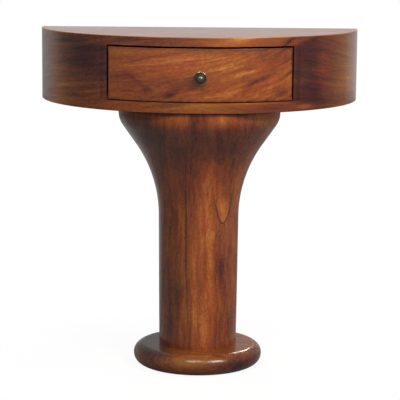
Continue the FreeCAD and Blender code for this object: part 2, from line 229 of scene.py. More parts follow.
def half_round_rings(profile):
    """Rings of a half-round board, one for each (inset, height) of the profile.

    A half circle of radius R drawn in by d has an arc of radius R - d and a straight back at d in front
    of the wall. They meet at the angle acos(d / (R - d)) from the front. At d = R / 2 the ring is a
    point.
    """
    inset = profile[:, :1]
    height = profile[:, 1:]
    reach = MOON_RADIUS - inset
    corner = np.arccos(np.clip(inset / reach, -1.0, 1.0))
    sweep = corner * np.linspace(-1, 1, MOON_STEPS)
    arc_x = reach * np.sin(sweep)
    arc_y = WALL_Y - reach * np.cos(sweep)
    back_x = reach * np.sin(corner) * np.linspace(1, -1, BACK_STEPS)[1:-1]
    back_y = (WALL_Y - inset) * np.ones((1, BACK_STEPS - 2))
    x = np.concatenate([arc_x, back_x], axis=1)
    y = np.concatenate([arc_y, back_y], axis=1)
    return np.stack([x, y, height * np.ones_like(x)], axis=-1)


def face_insets(deep, edge):
    """Insets across a flat face, from its middle out to just short of its edge."""
    return np.linspace(deep, edge + HOLD, FACE_STEPS)


def board_profile(deep, low, high, low_edge, high_edge):
    """(inset, height) from the middle of the lower face, round the side, to the middle of the upper."""
    under = face_insets(deep, low_edge)
    over = face_insets(deep, high_edge)[::-1]
    return np.concatenate([
        np.stack([under, np.full_like(under, low)], axis=-1),
        rounded_edge(low, low_edge, 1),
        rounded_edge(high, high_edge, -1)[::-1],
        np.stack([over, np.full_like(over, high)], axis=-1),
    ])


def bowed_rings(profile, angles, low, high):
    """Rings of a board bent round the case, one for each (inset, radius) of the profile.

    The board's outline is a rectangle, drawn in by the inset and wrapped so that a point at the radius r
    and the angle t from the front lies at (r sin t, wall - r cos t). angles(r) gives the two ends, so that
    the ends are flat although the board is curved.
    """
    inset = profile[:, :1]
    radius = profile[:, 1:]
    start, end = angles(radius)
    tall = high - low
    long = MOON_RADIUS * float(np.max(end - start))
    along = np.linspace(0, 1, BOW_STEPS)
    up = np.linspace(0, 1, RISE_STEPS)[1:-1]
    across = np.concatenate([along, np.ones_like(up), along[::-1], np.zeros_like(up)])
    rise = np.concatenate([np.zeros_like(along), up, np.ones_like(along), up[::-1]])
    share = (inset + across * (long - 2 * inset)) / long
    turn = start + share * (end - start)
    z = low + inset + rise * (tall - 2 * inset)
    return np.stack([radius * np.sin(turn), WALL_Y - radius * np.cos(turn), z], axis=-1)


def turned_rings(profile, steps):
    """Rings of a turned piece: each (radius, height) of the profile goes once round the upright axis."""
    turn = np.arange(steps) * FULL_TURN / steps
    radius = profile[:, :1]
    z = profile[:, 1:] * np.ones_like(turn)
    return np.stack([radius * np.sin(turn), -radius * np.cos(turn), z], axis=-1)


def facing_out(rings):
    """Lays a turned piece on its side, its height along -Y, on the drawer front at the knob's height."""
    x, y, z = np.moveaxis(rings, -1, 0)
    return np.stack([x, drawer_low.y - z, KNOB_HEIGHT - y], axis=-1)


def arc_points(centre, radius, start, end, count):
    """(radius, height) points of a circular arc in the profile's plane, between two angles."""
    turn = np.linspace(start, end, count)
    return np.stack([centre[0] + radius * np.cos(turn), centre[1] + radius * np.sin(turn)], axis=-1)


def column_profile(sizes):
    """(radius, height) down the column: band, convex lip, straight flare, cove, tapered shaft, spigot.

    The lip turns from upright to the flare's slope, and the cove turns back to the shaft's slope, so
    every stretch starts in the direction in which the last one ended.
    """
    head = column_high.x
    crown = column_high.z
    slope = sizes.flare_angle
    taper = sizes.taper
    lip_centre = (head - sizes.lip, crown - sizes.land)
    lip = arc_points(lip_centre, sizes.lip, 0.0, -slope, LIP_STEPS)
    flare_low = lip[-1] - sizes.flare * np.array([math.sin(slope), math.cos(slope)])
    cove_radius = (flare_low[0] - sizes.shaft) / (math.cos(taper) - math.cos(slope))
    cove_centre = flare_low + cove_radius * np.array([math.cos(slope), -math.sin(slope)])
    cove = arc_points(cove_centre, cove_radius, HALF_TURN - slope, HALF_TURN - taper, COVE_STEPS)
    foot_z = base_high.z
    foot_radius = cove[-1, 0] - (cove[-1, 1] - foot_z) * math.tan(taper)
    shaft = np.linspace(cove[-1], (foot_radius, foot_z), SHAFT_STEPS)[1:]
    band = [(0.0, crown), (head - sizes.chamfer, crown), (head, crown - sizes.chamfer)]
    spigot = [(sizes.spigot, foot_z), (sizes.spigot, column_low.z), (0.0, column_low.z)]
    return np.concatenate([band, lip, cove, shaft, spigot])


def plate_profile(sizes):
    """(radius, height) of the backplate: its back, its half-round rim, its face and down its hole."""
    reach = plate_high.x
    rim = arc_points((reach - sizes.rim, sizes.plate), sizes.rim, 0.0, HALF_TURN, RIM_STEPS)
    hole = sizes.screw_hole
    back = [(hole, 0.0), (reach, 0.0)]
    front = [(hole, sizes.plate), (hole, 0.0)]
    return np.concatenate([back, rim, front])


def knob_profile(sizes):
    """(radius, height) of the knob: foot, waisted neck and ball.

    The neck's radius goes from the foot's to its own as the sine of a quarter turn, and the ball is an
    arc from the neck round to the crown.
    """
    ball = knob_high.x
    foot_top = sizes.plate + sizes.foot_height
    neck_top = foot_top + sizes.neck_length
    drop = math.sqrt(ball ** 2 - sizes.neck ** 2)
    rise = np.linspace(0, 1, NECK_STEPS)
    waist = sizes.foot + (sizes.neck - sizes.foot) * np.sin(rise * HALF_TURN / 2)
    neck = np.stack([waist, foot_top + rise * sizes.neck_length], axis=-1)
    start = -math.atan2(drop, sizes.neck)
    globe = arc_points((0.0, neck_top + drop), ball, start, HALF_TURN / 2, BALL_STEPS)
    foot = [(0.0, sizes.plate), (sizes.foot, sizes.plate)]
    return np.concatenate([foot, neck, globe[1:]])


# Shader arithmetic

Rise = namedtuple("Rise", "start end by")


class Field:
    """A number that varies over a surface. Arithmetic on it adds Math nodes to its bench."""

    def __init__(self, bench, socket):
        self.bench = bench
        self.socket = socket

    def apply(self, operation, *others):
        return self.bench.math(operation, self, *others)

    def __add__(self, other):
        return self.apply("ADD", other)

    __radd__ = __add__

    def __sub__(self, other):
        return self.apply("SUBTRACT", other)

    def __rsub__(self, other):
        return self.bench.math("SUBTRACT", other, self)

    def __mul__(self, other):
        return self.apply("MULTIPLY", other)

    __rmul__ = __mul__

    def __truediv__(self, other):
        return self.apply("DIVIDE", other)

    def __pow__(self, other):
        return self.apply("POWER", other)

    def floor(self):
        return self.apply("FLOOR")

    def fraction(self):
        return self.apply("FRACT")

    def size(self):
        return self.apply("ABSOLUTE")

    def step(self, low, high):
        """0 below low, 1 above high, with a smooth rise between."""
        return self.bench.smooth(self, low, high)

    def rise(self, change):
        """None of the change before its start and all of it past its end, with a smooth rise between."""
        return self.step(change.start, change.end) * change.by

    def between(self, start, end):
        """1 past the start and short of the end, and 0 elsewhere."""
        return self.step(*start) * self.step(*end)


class Bench:
    """A node tree that is laid out one call at a time; each call gives back the new node's output."""

    def __init__(self, tree):
        self.tree = tree
        tree.nodes.clear()

    def set(self, socket, value):
        """Joins a field or a socket to an input, or writes a plain value on it."""
        if isinstance(value, Field):
            value = value.socket
        if isinstance(value, bpy.types.NodeSocket):
            self.tree.links.new(value, socket)
        else:
            socket.default_value = value

    def node(self, kind, **inputs):
        made = self.tree.nodes.new(kind)
        for name, value in inputs.items():
            self.set(made.inputs[name.replace("_", " ")], value)
        return made

    def math(self, operation, *values):
        made = self.tree.nodes.new("ShaderNodeMath")
        made.operation = operation
        for socket, value in zip(made.inputs, values):
            self.set(socket, value)
        return Field(self, made.outputs[0])

    def smooth(self, value, low, high):
        made = self.node("ShaderNodeMapRange", Value=value)
        made.interpolation_type = "SMOOTHSTEP"
        for name, bound in (("From Min", low), ("From Max", high)):
            made.inputs[name].default_value = bound
        return Field(self, made.outputs["Result"])

    def place(self, kind="Object"):
        """The object's own x, y and z, in metres, or a direction's in the world."""
        spot = self.node("ShaderNodeTexCoord").outputs[kind]
        axes = self.node("ShaderNodeSeparateXYZ", Vector=spot)
        return [Field(self, axes.outputs[name]) for name in "XYZ"]

    def noise(self, x, y, z, detail=2.0, roughness=0.5):
        """Smooth noise, from about -1 to 1, whose features are about one unit of x, y and z apart."""
        spot = self.node("ShaderNodeCombineXYZ", X=x, Y=y, Z=z).outputs["Vector"]
        made = self.node("ShaderNodeTexNoise", Vector=spot, Scale=1.0, Detail=detail,
                         Roughness=roughness)
        return Field(self, made.outputs["Fac"]) * 2.0 - 1.0

    def ramp(self, value, stops):
        """Colour for a value, from a list of (value, colour)."""
        made = self.node("ShaderNodeValToRGB", Fac=value)
        marks = made.color_ramp.elements
        while len(marks) < len(stops):
            marks.new(1.0)
        for mark, (spot, colour) in zip(marks, stops):
            mark.position = spot
            mark.color = (*colour, 1.0)
        return made.outputs["Color"]

    def turn_hue(self, colour, turn):
        """The colour, its hue turned by a share of the colour wheel: to gold above 0, to red below."""
        return self.node("ShaderNodeHueSaturation", Color=colour, Hue=turn + 0.5).outputs["Color"]

    def bump(self, height, distance):
        """Normal of a surface that rises by a distance, in metres, as the height goes from 0 to 1."""
        made = self.node("ShaderNodeBump", Height=height, Distance=distance, Strength=1.0)
        return made.outputs["Normal"]


def new_material(name):
    material = bpy.data.materials.new(name)
    material.use_nodes = True
    return material, Bench(material.node_tree)


def surface(bench, **inputs):
    """Ends a material with one Principled shader."""
    shader = bench.node("ShaderNodeBsdfPrincipled", **inputs)
    bench.node("ShaderNodeOutputMaterial", Surface=shader.outputs["BSDF"])


# Wood

Mark = namedtuple("Mark", "along across length width tone slope hue", defaults=(0.0, 0.0))
Grain = namedtuple("Grain", "along across tone detail roughness", defaults=(2.0, 0.5))
Stain = namedtuple("Stain", "seed level strength hue", defaults=(0.0,))
Lacquer = namedtuple("Lacquer", "dull shine waves wave_height")
Figure = namedtuple("Figure", "tone hue fibre")

# Layers of the figure: features a metre with and across the grain, and how far each moves the tone
SWAY = Grain(4.5, 9.0, 0.013, 3.0)
DRIFT = Grain(3.0, 16.0, 0.20)
STREAK = Grain(9.0, 125.0, 0.30, 2.5, 0.5)
MOTTLE = Grain(110.0, 230.0, 0.20, 2.0)
FIBRE = Grain(45.0, 620.0, 0.18, 2.0, 0.7)
PORE = Grain(110.0, 1500.0, 0.08, 1.0)
TINGE = Grain(12.0, 60.0, 0.014, 2.0)
TINGE_SEED = 5.0  # keeps the tinge apart from the other layers
OPEN_PORE = (0.20, 0.45)  # noise over which a pore opens
RING_WIDTH = 0.027  # metres; a growth ring
LATE_WOOD = 0.08  # how far the dark end of a growth ring moves the tone
LATE_POWER = 4.0  # how near to the ring's end it starts

# Stains: where the figure is cut, its middle tone, its strength and its turn of hue
DRAWER_STAIN = Stain(3.1, 0.64, 1.0)
CASE_STAIN = Stain(7.7, 0.54, 0.9)
BOARD_STAIN = Stain(1.3, 0.71, 0.85, 0.006)
PARTITION_STAIN = Stain(5.2, 0.29, 0.7, -0.012)
BACK_STAIN = Stain(5.2, 0.40, 0.7, -0.004)
COLUMN_STAIN = Stain(9.4, 0.51, 1.0)
BASE_STAIN = Stain(4.6, 0.53, 0.7, 0.010)

# Lacquers: roughness times the finish's own, shine, and how close and how high its waves are
SATIN = Lacquer(1.0, 0.5, 1.0, 0.00008)
BASE_SATIN = Lacquer(1.2, 0.4, 2.2, 0.00022)
WAVE = Grain(26.0, 40.0, 1.0, 1.0)
LACQUER_VARIES = 0.03  # how far fibres and waves move the roughness
FIBRE_RELIEF = 0.06  # height of a fibre under the lacquer, in heights of a wave
PALETTE = (0.00, 0.22, 0.46, 0.74, 1.00)  # tones of vein, shade, body, warm and glow

# Drawer front
KNOT_LIFT = Mark(-0.100, -0.050, 0.050, 0.030, 0.016)  # where and how far the grain lifts over the knots
GRAIN_CLIMB = 0.20  # slope of the grain at the middle
GRAIN_BEND = 0.45  # how fast it steepens to the right
FLAME = Grain(34.0, 130.0, 0.24, 3.0)  # ripples of the right half
FLAME_SLOPE = 0.45
FLAME_SEED = 1.7
FLAME_SIDE = (-0.06, 0.12)  # metres along the bow over which they start
EDGE_SHADE = 0.007  # metres in from its edges, over which painted shade beside the gap fades in
EDGE_PAINTED_SHADE = 0.22

# Case, in metres along the bow
CASE_FALL = 0.12  # slope of the grain, down from the middle
CASE_CONTRAST = 1.2
CALM_RIGHT = Rise(-0.1, 0.1, -0.7)  # calmer figure on the right half
WALL_DARK = Rise(0.19, 0.25, -0.30)  # darker walls
BACK_PALE = Rise(0.27, 0.42, 0.33)  # paler to the back
BACK_GOLD = Rise(0.27, 0.42, 0.004)  # and more golden
EDGE_FIGURE = (MOON_RADIUS - 0.0020, MOON_RADIUS - 0.0008)  # radii where the case's figure takes over
WEAR_AND_HIGHLIGHT_OUT = (MOON_RADIUS - 0.0040, MOON_RADIUS - 0.0020)  # where the top's upper edge is painted pale, for wear and a painted highlight
WEAR_AND_HIGHLIGHT_UP = (TOP_RISE - 0.0030, TOP_RISE - 0.0005)
WEAR_AND_HIGHLIGHT_PALE = 0.34
PARTITION_DARK = 0.13  # how much darker the partitions' edges are than the walls
PLANK = 0.092  # metres; width of a plank of the top
PLANK_SHIFT = 0.37  # metres; how far the figure moves from plank to plank
PLANK_LINE = Rise(0.490, 0.499, -0.12)  # glue line, in shares of a plank from its middle

# Column, in metres up from the floor
STAVE = 0.059  # metres; width of an upright board
STAVE_EDGE = 0.018  # metres; how far left of the middle its glue line is
STAVE_LINE = Rise(0.472, 0.496, -0.10)  # glue line, in shares of a board from its middle
STAVE_STEP = 7.3  # from board to board in the noise that tells them apart
STAVE_SEED = (0.5, 2.5)
STAVE_TONE = 0.10  # how far boards differ in tone
STAVE_SHIFT = 3.0  # metres; how far their figures lie apart
MIDDLE_STAVE = Rise(0.50, 0.34, 0.10)  # paler middle board, below the flare
WANDER = Grain(8.0, 0.0, 0.010, 3.0)  # how glue lines wander, in metres
WANDER_SEED = (0.3, 0.7)
MARK_WANDER = 0.3  # share of it that the marks follow
COLUMN_SHORT = 1.7  # how much shorter the column's figure is
COLUMN_DEEP = 0.7  # and how much slower it changes from front to back
COLUMN_CONTRAST = 0.9
CALM_FLARE = Rise(0.40, 0.50, -0.2)  # calmer figure on the flare
FLARE_SHADE = ((0.430, 0.510), (0.585, 0.560))  # darker flare, where it starts and where it ends
FLARE_DARK = 0.08
CLOUD = Grain(18.0, 30.0, 0.12)
CLOUD_DEEP = 8.0
HEAD_PALE = Rise(0.555, 0.575, 0.07)  # paler head
CASE_SHADOW = Rise(0.586, 0.593, -0.38)  # dark line under the case

# Tongue of growth lines on the column
TONGUE_TIP = (0.3374, 0.0545)  # metres up and across
TONGUE_SPREAD = 0.0068
TONGUE_LINE = 0.0015  # metres; thickness of its outline
TONGUE_WANDER = 0.25  # share of the glue lines' wander that it follows
TONGUE_TOP = (0.11, 0.03)  # metres over the tip, where its outline fades
TONGUE_CORE = (0.0, -0.004)  # metres in from the outline, where its core starts
CORE_TOP = (0.070, 0.020)  # metres over the tip, where its core fades
TONGUE_SIDE = (0.0, -0.05)  # it shows on the front only
TONGUE_DARK = 0.26
CORE_PALE = 0.18

# Base and bare wood
PITH = (-0.02, -0.09)  # metres back and up, where the base's growth rings have their middle
BASE_RING = 0.016  # metres; its growth rings
BARE_RING = 0.012  # metres; growth rings of the bare wood
BARE_LEVEL = 0.60
BARE_STRENGTH = 1.3
BARE_ROUGH = 0.5
BARE_VARIES = 0.1  # how far fibres move the roughness
BARE_RELIEF = 0.00004  # metres; height of a fibre
ALONG_X, ALONG_Y, ALONG_Z = range(3)  # directions of its grain

# Marks of the figure: where each is, its size, how far it moves the tone, its slope and its turn of hue
DRAWER_MARKS = (
    Mark(-0.183, -0.005, 0.034, 0.0055, -0.19, 0.02, -0.006),  # dark grain line from the left end
    Mark(-0.140, -0.014, 0.024, 0.0070, -0.12, -0.62, -0.006),  # the same line, where it dips to the knots
    Mark(-0.117, -0.033, 0.011, 0.0042, -0.28),  # small knot
    Mark(-0.067, -0.044, 0.014, 0.0065, -0.36, 0.10, -0.010),  # larger knot
    Mark(-0.053, -0.034, 0.007, 0.0040, -0.17, 0.50),  # its satellite
    Mark(-0.070, -0.018, 0.045, 0.0160, -0.11, 0.0, -0.006),  # red shade above the knots
    Mark(-0.127, 0.033, 0.050, 0.0018, -0.20, 0.27),  # thin line that climbs at the upper left
    Mark(-0.050, 0.028, 0.062, 0.0240, 0.25, 0.10, -0.006),  # golden upper middle
    Mark(0.047, 0.014, 0.030, 0.0026, 0.15, 0.23, 0.004),  # pale flames on the right half
    Mark(0.105, 0.006, 0.028, 0.0026, 0.17, 0.20, 0.004),
    Mark(0.080, -0.024, 0.014, 0.0024, 0.17, 0.35, 0.004),
    Mark(0.190, -0.040, 0.020, 0.0140, -0.18),  # dark lower right corner
    Mark(0.108, -0.023, 0.017, 0.0065, -0.14, 0.60, -0.006),  # dark waves between them
    Mark(0.139, -0.008, 0.020, 0.0070, -0.17, 0.50, -0.006),
    Mark(0.165, 0.032, 0.055, 0.0220, -0.20, 0.20, -0.004),  # dark upper right
    Mark(0.055, 0.014, 0.055, 0.0300, 0.12, 0.10),  # pale middle
    Mark(0.065, -0.043, 0.034, 0.0130, 0.10),  # pale foot of the right half
    Mark(-0.017, -0.008, 0.011, 0.0090, -0.12),  # painted shadow of the knob, left of it
    Mark(-0.165, -0.043, 0.036, 0.0140, -0.10, 0.0, -0.004),  # dark lower left corner
    Mark(-0.168, 0.036, 0.034, 0.0140, 0.06),  # paler upper left
    Mark(-0.113, 0.028, 0.040, 0.0180, 0.12, 0.10, -0.006),  # red gold beside it
    Mark(-0.005, -0.038, 0.050, 0.0100, 0.07, 0.0, -0.005),  # warm foot under the knob
    Mark(-0.135, 0.006, 0.024, 0.0070, 0.10),  # paler wood above the dark line
    Mark(-0.075, -0.012, 0.030, 0.0090, -0.07),  # shade that runs on from it
    Mark(-0.115, -0.049, 0.036, 0.0060, -0.16),  # dull foot below the knots
    Mark(-0.012, 0.026, 0.030, 0.0100, -0.05, 0.0, -0.004),  # redder wood above the knob
    Mark(0.042, -0.026, 0.024, 0.0080, 0.07, 0.0, -0.006),  # red gold right of it
    Mark(0.134, -0.046, 0.022, 0.0060, 0.09),  # pale foot before the dark corner
    Mark(0.185, -0.012, 0.018, 0.0090, -0.06),  # shade at the right end
)
CASE_MARKS = (
    Mark(-0.279, 0.030, 0.045, 0.0260, -0.08, 0.0, -0.030),  # purple heart of the left wall
    Mark(-0.262, -0.045, 0.055, 0.0240, 0.27, -0.15),  # red patch below it
    Mark(-0.280, 0.070, 0.050, 0.0090, 0.12, -0.15),  # red tongue above the left wall
    Mark(-0.300, -0.074, 0.090, 0.0140, 0.25, 0.0, 0.006),  # red foot of the left wall
    Mark(-0.125, 0.071, 0.075, 0.0120, -0.22),  # dark left part of the band above the drawer
    Mark(0.075, 0.071, 0.070, 0.0110, 0.28, 0.05),  # orange part of the band above the drawer
    Mark(0.092, 0.0785, 0.024, 0.0034, 0.30, 0.05, 0.012),  # painted highlight on the band's upper edge in it
    Mark(0.200, 0.069, 0.016, 0.0055, -0.34, 0.65),  # dark slant at the band's right end
    Mark(0.243, 0.075, 0.028, 0.0055, 0.24, 0.22),  # gold stripe beyond it
    Mark(0.252, 0.044, 0.030, 0.0180, -0.06, 0.0, -0.028),  # purple heart of the right wall
    Mark(0.280, -0.036, 0.022, 0.0200, -0.06, 0.0, -0.026),
    Mark(0.310, 0.010, 0.024, 0.0400, 0.10, 0.0, -0.008),  # red cloud beside it
    Mark(0.246, -0.073, 0.026, 0.0060, 0.44),  # gold flame low on the right wall
    Mark(0.000, -0.071, 0.090, 0.0100, 0.10, 0.0, 0.006),  # pale middle of the band below the drawer
    Mark(0.165, -0.072, 0.045, 0.0090, -0.12),  # dark stretch right of it
    Mark(0.285, -0.078, 0.035, 0.0070, 0.10),  # and its lighter end
    Mark(-0.530, 0.000, 0.065, 0.3000, -0.29, 0.0, 0.004),  # dull left end of the case
    Mark(-0.425, 0.000, 0.045, 0.3000, 0.07, 0.0, 0.005),  # lighter wood before it
    Mark(-0.375, 0.070, 0.050, 0.0120, -0.12),  # darker corner above it
    Mark(-0.355, 0.035, 0.030, 0.0240, -0.05, 0.0, 0.006),  # dull wood below that
    Mark(-0.370, -0.030, 0.040, 0.0450, 0.17, 0.0, 0.008),  # olive gold low on the left end
    Mark(-0.300, -0.012, 0.080, 0.0140, 0.08, 0.0, 0.002),  # paler streak across the left wall
    Mark(-0.318, -0.036, 0.034, 0.0110, 0.13, 0.0, 0.002),  # and one below it
    Mark(-0.240, 0.074, 0.035, 0.0100, 0.22, 0.0, -0.006),  # purple brown above the wall
    Mark(0.010, -0.063, 0.050, 0.0060, 0.18, 0.0, 0.012),  # painted highlight on the edge below the drawer
    Mark(0.110, -0.0605, 0.060, 0.0022, 0.20, 0.0, 0.010),
    Mark(0.460, 0.000, 0.055, 0.3000, -0.13, 0.0, 0.010),  # dull right end
    Mark(0.390, 0.000, 0.045, 0.3000, -0.03, 0.0, 0.012),  # olive brown before it
    Mark(0.303, 0.072, 0.030, 0.0120, 0.11),  # lighter wood above the right wall
    Mark(0.430, -0.028, 0.070, 0.0330, 0.14),  # paler wood low on the right end
    Mark(-0.375, -0.060, 0.045, 0.0160, 0.12),  # and on the left end
    Mark(-0.310, -0.051, 0.032, 0.0110, 0.09),  # and beside it
)
COLUMN_MARKS = (
    Mark(0.280, 0.014, 0.250, 0.0200, 0.21, 0.0, -0.005),  # long orange ribbon
    Mark(0.255, 0.0268, 0.150, 0.0046, 0.12, 0.0, 0.0),  # its pale core
    Mark(0.415, 0.041, 0.045, 0.0180, 0.14, -0.40),  # pale slant above it
    Mark(0.310, -0.0275, 0.150, 0.0014, -0.42, -0.014),  # open glue line
    Mark(0.185, -0.010, 0.110, 0.0085, 0.31),  # thin ribbon beside the glue line
    Mark(0.225, 0.050, 0.042, 0.0085, -0.20),  # dark patch right of the ribbon
    Mark(0.375, 0.0520, 0.030, 0.0085, 0.24, 0.0, 0.003),  # gold inside the tongue
    Mark(0.450, -0.005, 0.045, 0.0500, 0.02, 0.0, -0.006),  # purple foot of the flare
    Mark(0.582, -0.050, 0.024, 0.0130, 0.05),  # orange board in the head
    Mark(0.582, 0.046, 0.024, 0.0090, 0.24),  # its neighbour on the right
    Mark(0.590, 0.128, 0.026, 0.0300, 0.10),  # lighter board beyond
    Mark(0.584, -0.008, 0.021, 0.0150, -0.22),  # darker board between them
    Mark(0.520, 0.062, 0.024, 0.0240, -0.06, 0.0, -0.004),  # dark right half of the flare
    Mark(0.448, 0.048, 0.034, 0.0140, 0.13, 0.0, -0.004),  # pale patch above the tongue
    Mark(0.110, 0.016, 0.055, 0.0120, 0.10, 0.0, -0.004),  # orange foot of the ribbon
    Mark(0.340, -0.039, 0.050, 0.0080, 0.10),  # paler wood left of the glue line
    Mark(0.170, -0.058, 0.110, 0.0220, -0.11, 0.0, 0.006),  # olive left third
    Mark(0.345, -0.010, 0.045, 0.0100, -0.08),  # darker head of the ribbon
    Mark(0.530, 0.115, 0.020, 0.0200, -0.08),  # dark ends of the flare
    Mark(0.536, -0.110, 0.026, 0.0260, -0.25),
    Mark(0.500, -0.055, 0.035, 0.0450, -0.12),
    Mark(0.572, 0.079, 0.026, 0.0090, 0.18, 0.0, -0.006),  # second board on the right
    Mark(0.520, 0.137, 0.045, 0.0120, 0.20, 0.62, 0.004),  # golden painted light along the flare's right edge, from the right
    Mark(0.425, 0.091, 0.040, 0.0070, 0.12, 0.25, 0.004),
    Mark(0.568, 0.152, 0.026, 0.0140, 0.24, 0.0, 0.012),
    Mark(0.175, 0.040, 0.030, 0.0080, 0.14),  # pale wood right of the ribbon
    Mark(0.185, 0.061, 0.035, 0.0070, -0.13),  # and darker beyond
)
BASE_MARKS = (
    Mark(-0.030, 0.030, 0.060, 0.0120, 0.10, 0.0, 0.006),  # golden front
    Mark(0.030, 0.036, 0.030, 0.0050, 0.12, 0.0, 0.004),  # gold under the glints
    Mark(0.100, 0.018, 0.065, 0.0220, -0.36, 0.0, -0.006),  # painted shade low on the right, turned redder
    Mark(-0.115, 0.050, 0.050, 0.0200, -0.46),  # painted shadow of the column on the upper left
    Mark(0.105, 0.048, 0.030, 0.0060, 0.10),  # painted light on the upper right
    Mark(-0.105, 0.010, 0.035, 0.0100, -0.12),  # painted shade low on the left
)


def spot(along, across, mark):
    """Soft mark: exp(-(da / length)^2 - (dc / width)^2), its length tilted by its slope."""
    off = along - mark.along
    side = across - mark.across - off * mark.slope
    far = (off / mark.length) ** 2.0 + (side / mark.width) ** 2.0
    return (far * -1.0).apply("EXPONENT")


def all_spots(along, across, marks):
    """Sums of the marks' tones and of their hues."""
    tone = 0.0
    hue = 0.0
    for mark in marks:
        soft = spot(along, across, mark)
        tone = soft * mark.tone + tone
        if mark.hue:
            hue = soft * mark.hue + hue
    return tone, hue


def layer(bench, grain, along, level, depth, seed=0.0):
    """Noise with the layer's features, long with the grain and short across it."""
    return bench.noise(along * grain.along + seed, level * grain.across + seed, depth * grain.across,
                       detail=grain.detail, roughness=grain.roughness)


def wood_figure(bench, stain, along, across, depth, ring=RING_WIDTH, contrast=1.0):
    """Tone, hue and fibres of stained wood.

    The tone is the stain's level and a slow drift, streaks, a mottle, fibres and pores, less the late
    wood: a saw wave of the place across the grain, which a noise sways, so that each growth ring ends in
    a crisp dark line.
    """
    seed = stain.seed
    level = across + layer(bench, SWAY, along, across, depth, seed) * SWAY.tone
    drift = layer(bench, DRIFT, along, level, depth, seed)
    streak = layer(bench, STREAK, along, level, depth, seed) * contrast
    mottle = layer(bench, MOTTLE, along, level, depth, seed) * contrast
    fibre = layer(bench, FIBRE, along, level, depth, seed)
    pore = layer(bench, PORE, along, level, depth, seed).step(*OPEN_PORE)
    late = (level / ring + drift).fraction() ** LATE_POWER
    tinge = layer(bench, TINGE, along, level, depth, seed + TINGE_SEED)
    tone = (drift * DRIFT.tone + streak * STREAK.tone + mottle * MOTTLE.tone + fibre * FIBRE.tone
            - pore * PORE.tone - late * LATE_WOOD)
    return Figure(stain.level + tone * stain.strength, tinge * TINGE.tone + stain.hue, fibre)


def marked(figure, tone, hue=0.0):
    """A figure with changes of its tone and its hue."""
    return Figure(figure.tone + tone, figure.hue + hue, figure.fibre)


def lacquered_wood(bench, figure, along, across, depth, lacquer=SATIN):
    """Colours a figure with the stain's palette, under a lacquer with faint fibres and waves."""
    finish = settings().finish
    colours = (finish.vein, finish.shade, finish.body, finish.warm, finish.glow)
    colour = bench.ramp(figure.tone, list(zip(PALETTE, colours)))
    close = lacquer.waves
    wave = layer(bench, WAVE, along * close, across * close, depth * close)
    surface(bench, Base_Color=bench.turn_hue(colour, figure.hue),
            Roughness=finish.gloss * lacquer.dull + (figure.fibre + wave) * LACQUER_VARIES,
            Specular_IOR_Level=lacquer.shine,
            Normal=bench.bump(figure.fibre * FIBRE_RELIEF + wave, lacquer.wave_height))


def bow_place(bench):
    """Along the bow from its middle, up from the drawer's middle, and out from the flat back's middle."""
    x, y, z = bench.place()
    back = WALL_Y - y
    turn = bench.math("ARCTAN2", x, back)
    out = (x * x + back * back) ** 0.5
    return turn * MOON_RADIUS, z - DRAWER_MIDDLE, out


def drawer_wood():
    """Drawer front: figure that rises to the right, flames on its right half and two small knots."""
    material, bench = new_material("drawer_front_lacquer")
    along, up, out = bow_place(bench)
    lift = spot(along, up, KNOT_LIFT) * KNOT_LIFT.tone
    across = up - along * (along * GRAIN_BEND + GRAIN_CLIMB) + lift
    figure = wood_figure(bench, DRAWER_STAIN, along, across, out)
    slant = along + up * FLAME_SLOPE
    steep = up - along * FLAME_SLOPE
    ripple = bench.noise(slant * FLAME.along, steep * FLAME.across, FLAME_SEED, detail=FLAME.detail)
    flames = ripple * along.step(*FLAME_SIDE) * FLAME.tone
    # painted shade along the front's edges, beside the gap
    end = along.size().step(DRAWER_REACH - EDGE_SHADE, DRAWER_REACH)
    rim = up.size().step(DRAWER_RISE - EDGE_SHADE, DRAWER_RISE)
    edge = end.apply("MAXIMUM", rim) * EDGE_PAINTED_SHADE
    tone, hue = all_spots(along, up, DRAWER_MARKS)
    lacquered_wood(bench, marked(figure, flames + tone - edge, hue), along, across, out)
    return material


def case_figure(bench, along, up, out):
    """Figure of the case's curved face, and the place across its grain.

    It is dark beside the drawer, golden brown to the back, and paler above and below the drawer.
    """
    side = along.size()
    across = up + side * CASE_FALL
    contrast = CASE_CONTRAST + along.rise(CALM_RIGHT)
    figure = wood_figure(bench, CASE_STAIN, along, across, out, contrast=contrast)
    tone, hue = all_spots(along, up, CASE_MARKS)
    tone = side.rise(WALL_DARK) + side.rise(BACK_PALE) + tone
    return marked(figure, tone, side.rise(BACK_GOLD) + hue), across


def edged(out, plain, rim):
    """A board's own figure on its faces, and the case's figure on its curved edge."""
    edge = out.step(*EDGE_FIGURE)
    return marked(plain, edge * (rim.tone - plain.tone), edge * (rim.hue - plain.hue))


def wall_wood():
    """Curved walls: dark, streaky stained wood."""
    material, bench = new_material("wall_lacquer")
    along, up, out = bow_place(bench)
    figure, across = case_figure(bench, along, up, out)
    lacquered_wood(bench, figure, along, across, out)
    return material


def board_wood():
    """Top and bottom: planks along the width with faint glue lines, and the case's figure on their edge."""
    material, bench = new_material("board_lacquer")
    along, up, out = bow_place(bench)
    rim = case_figure(bench, along, up, out)[0]
    x, y, z = bench.place()
    plank = y / PLANK
    line = (plank.fraction() - 0.5).size().rise(PLANK_LINE)
    face = wood_figure(bench, BOARD_STAIN, x + plank.floor() * PLANK_SHIFT, y, z)
    figure = edged(out, marked(face, line), rim)
    # pale upper edge of the top: wear and a painted highlight
    worn = out.step(*WEAR_AND_HIGHLIGHT_OUT) * up.step(*WEAR_AND_HIGHLIGHT_UP) * WEAR_AND_HIGHLIGHT_PALE
    lacquered_wood(bench, marked(figure, worn), x, y, z)
    return material


